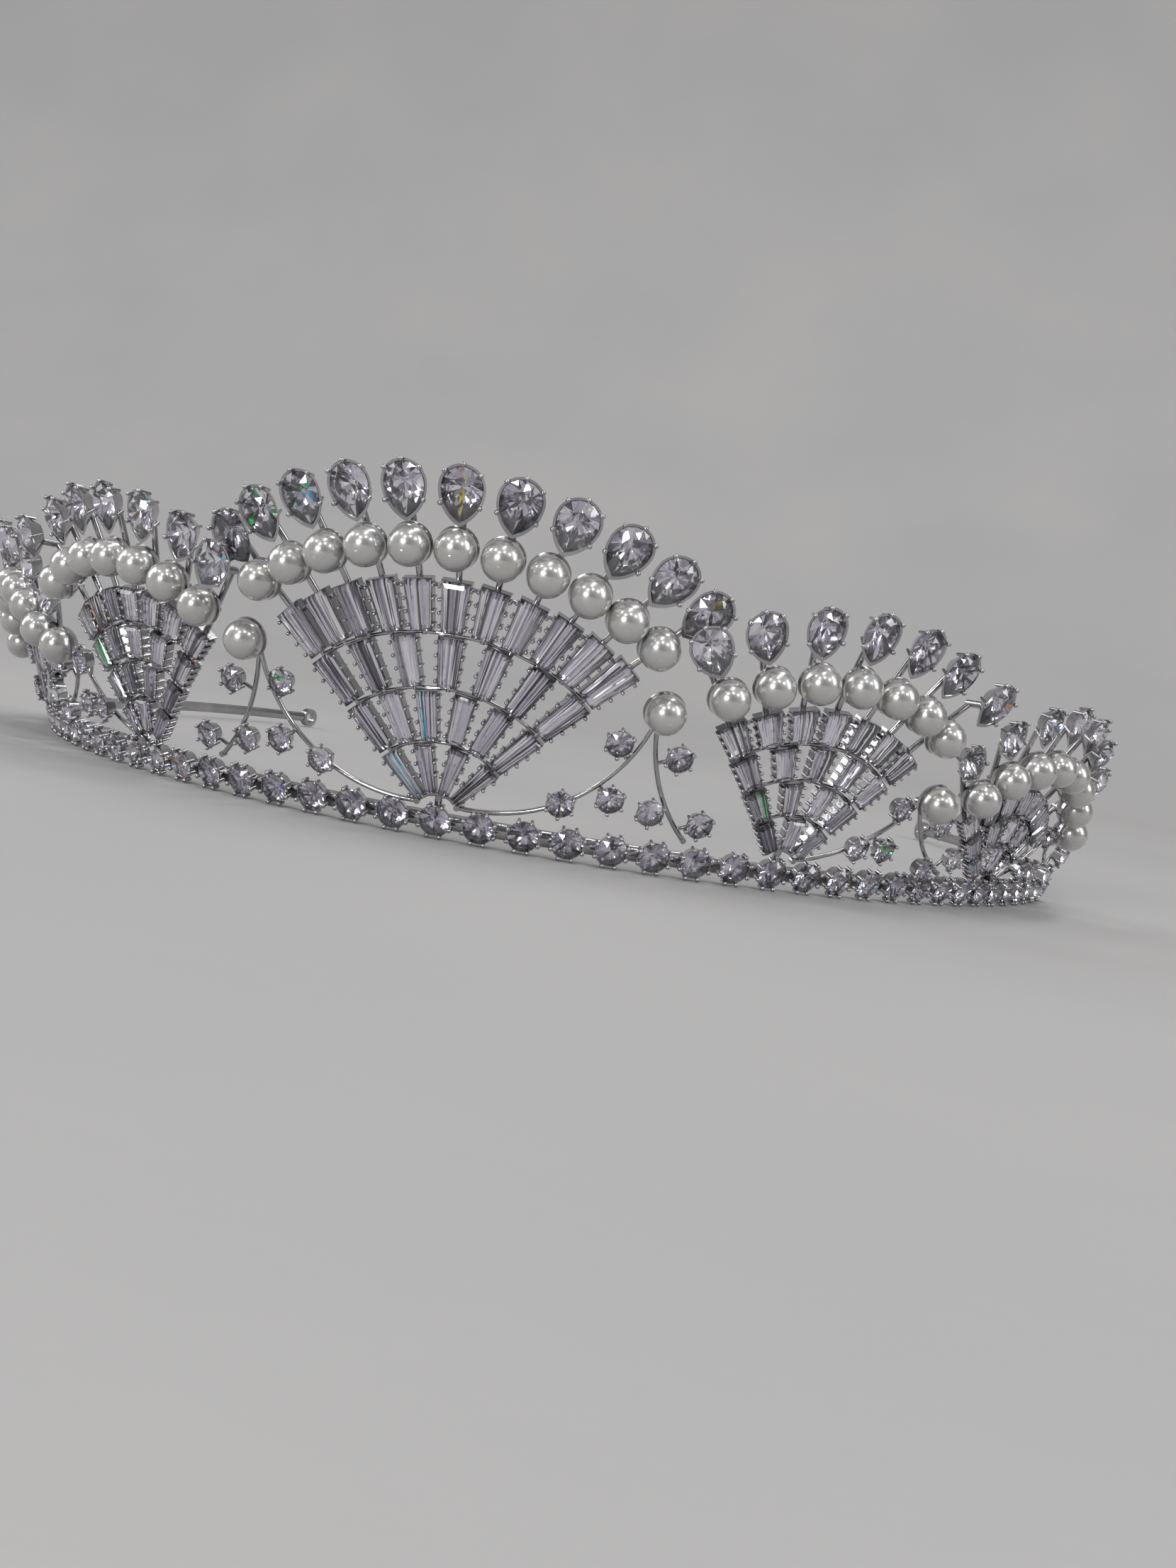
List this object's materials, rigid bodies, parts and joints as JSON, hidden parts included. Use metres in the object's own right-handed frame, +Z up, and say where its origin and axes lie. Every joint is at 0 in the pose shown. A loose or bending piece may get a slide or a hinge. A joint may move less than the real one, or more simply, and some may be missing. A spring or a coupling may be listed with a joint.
{
  "type": "bridal tiara",
  "caption": "Open-backed wire tiara with fans of clear baguettes, pearls and pear-shaped stones, vines between them and a row of round stones along its base.",
  "frame": {"origin": "middle of the footprint's bounding box, on the surface that the tiara stands on", "axes": "+Z up; the front with the tallest fan faces -Y; the open back faces +Y; +X is the right side of the picture that looks at the front"},
  "size_m": [0.1448, 0.1637, 0.0361],
  "materials": {
    "silver_metal": "bright plated",
    "pearl": "pearly",
    "clear_stone": "faceted and polished"
  },
  "bodies": {
    "root": {"base_rail": "silver_metal", "base_settings": "silver_metal", "base_stones": "clear_stone", "eyelet_left": "silver_metal", "eyelet_right": "silver_metal", "fan_centre_baguettes": "clear_stone", "fan_centre_frame": "silver_metal", "fan_centre_pear_settings": "silver_metal", "fan_centre_pear_stones": "clear_stone", "fan_centre_pearl_cups": "silver_metal", "fan_centre_pearls": "pearl", "fan_centre_prongs": "silver_metal", "fan_far_left_baguettes": "clear_stone", "fan_far_left_frame": "silver_metal", "fan_far_left_pear_settings": "silver_metal", "fan_far_left_pear_stones": "clear_stone", "fan_far_left_pearl_cups": "silver_metal", "fan_far_left_pearls": "pearl", "fan_far_left_prongs": "silver_metal", "fan_far_right_baguettes": "clear_stone", "fan_far_right_frame": "silver_metal", "fan_far_right_pear_settings": "silver_metal", "fan_far_right_pear_stones": "clear_stone", "fan_far_right_pearl_cups": "silver_metal", "fan_far_right_pearls": "pearl", "fan_far_right_prongs": "silver_metal", "fan_left_baguettes": "clear_stone", "fan_left_frame": "silver_metal", "fan_left_pear_settings": "silver_metal", "fan_left_pear_stones": "clear_stone", "fan_left_pearl_cups": "silver_metal", "fan_left_pearls": "pearl", "fan_left_prongs": "silver_metal", "fan_right_baguettes": "clear_stone", "fan_right_frame": "silver_metal", "fan_right_pear_settings": "silver_metal", "fan_right_pear_stones": "clear_stone", "fan_right_pearl_cups": "silver_metal", "fan_right_pearls": "pearl", "fan_right_prongs": "silver_metal", "valley_pearls": "pearl", "vine_inner_left_settings": "silver_metal", "vine_inner_left_stones": "clear_stone", "vine_inner_left_wires": "silver_metal", "vine_inner_right_settings": "silver_metal", "vine_inner_right_stones": "clear_stone", "vine_inner_right_wires": "silver_metal", "vine_middle_left_settings": "silver_metal", "vine_middle_left_stones": "clear_stone", "vine_middle_left_wires": "silver_metal", "vine_middle_right_settings": "silver_metal", "vine_middle_right_stones": "clear_stone", "vine_middle_right_wires": "silver_metal", "vine_outer_left_settings": "silver_metal", "vine_outer_left_stones": "clear_stone", "vine_outer_left_wires": "silver_metal", "vine_outer_right_settings": "silver_metal", "vine_outer_right_stones": "clear_stone", "vine_outer_right_wires": "silver_metal"}
  },
  "joints": []
}
